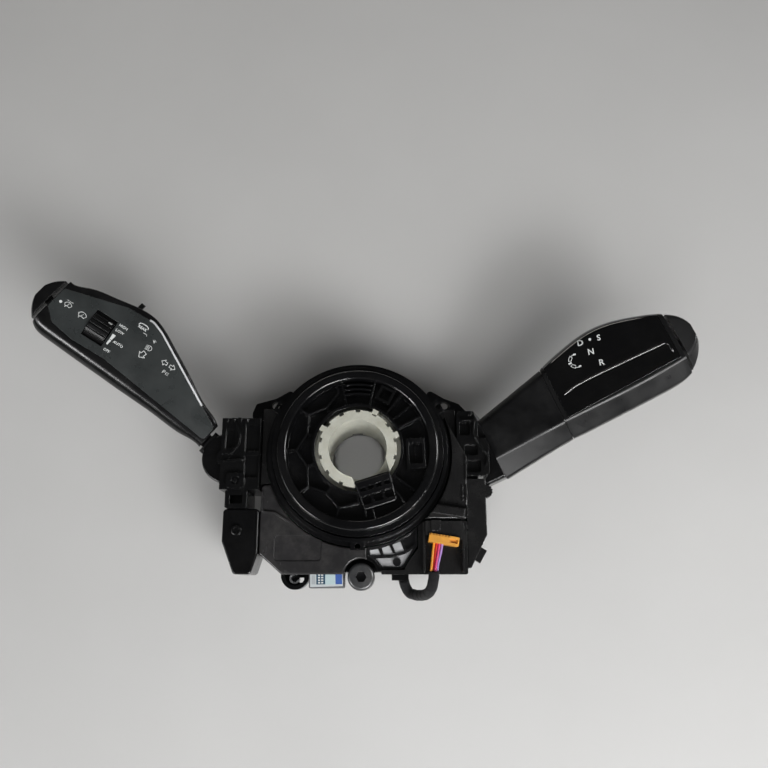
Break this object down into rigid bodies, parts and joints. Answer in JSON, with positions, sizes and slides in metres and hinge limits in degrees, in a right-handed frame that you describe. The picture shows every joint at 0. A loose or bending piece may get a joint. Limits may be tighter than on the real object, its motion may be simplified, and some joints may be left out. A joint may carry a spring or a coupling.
{
  "type": "steering column switch module",
  "caption": "Steering column switch module: clock spring with a white hub, an indicator and wiper stalk on the left and a gear selector stalk with a turning grip on the right.",
  "frame": {"origin": "on the steering column axis, in the rear housing's rear face, inside the column seat", "axes": "+Z along the column towards the driver, +Y up as the driver sees it, +X to the driver's right"},
  "size_m": [0.4227, 0.2011, 0.0913],
  "materials": {
    "housing_black": "fine moulded grain",
    "cover_black": "satin moulded",
    "gloss_black": "polished",
    "clear_black": "polished",
    "stalk_black": "satin",
    "plate_grey": "satin",
    "bright_trim": "satin bright",
    "hub_white": "smooth acetal",
    "gear_white": "smooth acetal",
    "board_green": "lacquered board",
    "steel": "zinc plated",
    "dark_steel": "blackened",
    "pin_brass": "plated",
    "socket_grey": "moulded",
    "plug_orange": "moulded",
    "wire_orange": "insulation",
    "wire_red": "insulation",
    "wire_magenta": "insulation",
    "wire_violet": "insulation",
    "loom_tape": "fleece tape",
    "film_cable": "polyester film"
  },
  "bodies": {
    "module": {"rear_housing": "housing_black", "left_ear_bush": "cover_black", "right_ear_bush": "cover_black", "clamp_bolt": "dark_steel", "circuit_board": "board_green", "main_socket": "housing_black", "main_pins": "pin_brass", "stator": "cover_black", "flat_cable": "film_cable", "lower_cover": "cover_black", "window_panel": "clear_black", "tower_cover": "cover_black", "bay_cover": "cover_black", "side_plate": "cover_black", "cable_guide": "cover_black", "left_switch_housing": "housing_black", "slot_frame": "housing_black", "left_bracket": "cover_black", "bracket_screw": "dark_steel", "right_switch_housing": "housing_black", "selector_tube": "housing_black", "selector_sleeve": "stalk_black", "jumper_socket": "cover_black", "jumper_plug": "plug_orange", "wire_orange": "wire_orange", "wire_red": "wire_red", "wire_magenta": "wire_magenta", "wire_violet": "wire_violet", "lead_loom": "loom_tape", "loom_socket": "housing_black", "side_socket": "housing_black", "lower_hook": "housing_black", "hook_clip": "steel", "left_corner_cover": "cover_black", "right_corner_cover": "cover_black"},
    "rotor": {"rotor_disc": "gloss_black", "hub_ring": "hub_white", "horn_socket": "cover_black", "wheel_socket": "socket_grey", "upper_socket": "cover_black", "sensor_drive_gear": "gear_white"},
    "sensor_gear_a": {"sensor_gear_a": "gear_white"},
    "sensor_gear_b": {"sensor_gear_b": "gear_white"},
    "left_gimbal": {"turn_barrel": "housing_black", "flash_pin": "steel"},
    "left_lever": {"lever_core": "housing_black", "left_stalk_shell": "stalk_black", "left_face_plate": "plate_grey", "left_trim": "bright_trim"},
    "washer": {"wash_button": "stalk_black"},
    "roller": {"wiper_roller": "stalk_black"},
    "toggle": {"rear_toggle": "stalk_black"},
    "grip": {"selector_grip": "stalk_black", "gloss_panel": "gloss_black"},
    "park": {"park_button": "stalk_black"}
  },
  "joints": [
    {"name": "steering_turn", "type": "hinge", "parent": "module", "child": "rotor", "pos_m": [0, 0, 0], "axis": [0, 0, 1], "range_deg": [-900, 900]},
    {"name": "sensor_a_turn", "type": "hinge", "parent": "module", "child": "sensor_gear_a", "pos_m": [-0.018, -0.03118, 0.02], "axis": [0, 0, 1], "range_deg": [-2700, 2700]},
    {"name": "sensor_b_turn", "type": "hinge", "parent": "module", "child": "sensor_gear_b", "pos_m": [0.0185, -0.03204, 0.02], "axis": [0, 0, 1], "range_deg": [-2430, 2430]},
    {"name": "indicator_turn", "type": "hinge", "parent": "module", "child": "left_gimbal", "pos_m": [-0.085, -0.0035, 0.026], "axis": [0, 0, 1], "range_deg": [-8, 8]},
    {"name": "beam_flash", "type": "hinge", "parent": "left_gimbal", "child": "left_lever", "pos_m": [-0.085, -0.0035, 0.026], "axis": [0.6428, 0.766, 0], "range_deg": [-5, 5], "stiffness_Nm_per_rad": 3},
    {"name": "wash_press", "type": "slide", "parent": "left_lever", "child": "washer", "axis": [0.7345, -0.6163, -0.284], "range_m": [0, 0.0012], "stiffness_N_per_m": 1500},
    {"name": "wiper_turn", "type": "hinge", "parent": "left_lever", "child": "roller", "pos_m": [-0.16661, 0.07725, 0.05979], "axis": [-0.826, 0.4889, 0.2805], "range_deg": [-20, 60]},
    {"name": "rear_wiper_tilt", "type": "hinge", "parent": "left_lever", "child": "toggle", "pos_m": [-0.14935, 0.08887, 0.05277], "axis": [0.7345, -0.6163, -0.284], "range_deg": [-12, 12]},
    {"name": "gear_turn", "type": "hinge", "parent": "module", "child": "grip", "pos_m": [0.15338, 0.04219, 0.04866], "axis": [0.8804, 0.3846, 0.2773], "range_deg": [-20, 20], "stiffness_Nm_per_rad": 1},
    {"name": "park_press", "type": "slide", "parent": "grip", "child": "park", "axis": [-0.8804, -0.3846, -0.2773], "range_m": [0, 0.0012], "stiffness_N_per_m": 1500}
  ],
  "couplings": [
    {"joint": "sensor_a_turn", "follows": "steering_turn", "ratio": -3},
    {"joint": "sensor_b_turn", "follows": "steering_turn", "ratio": -2.7}
  ]
}
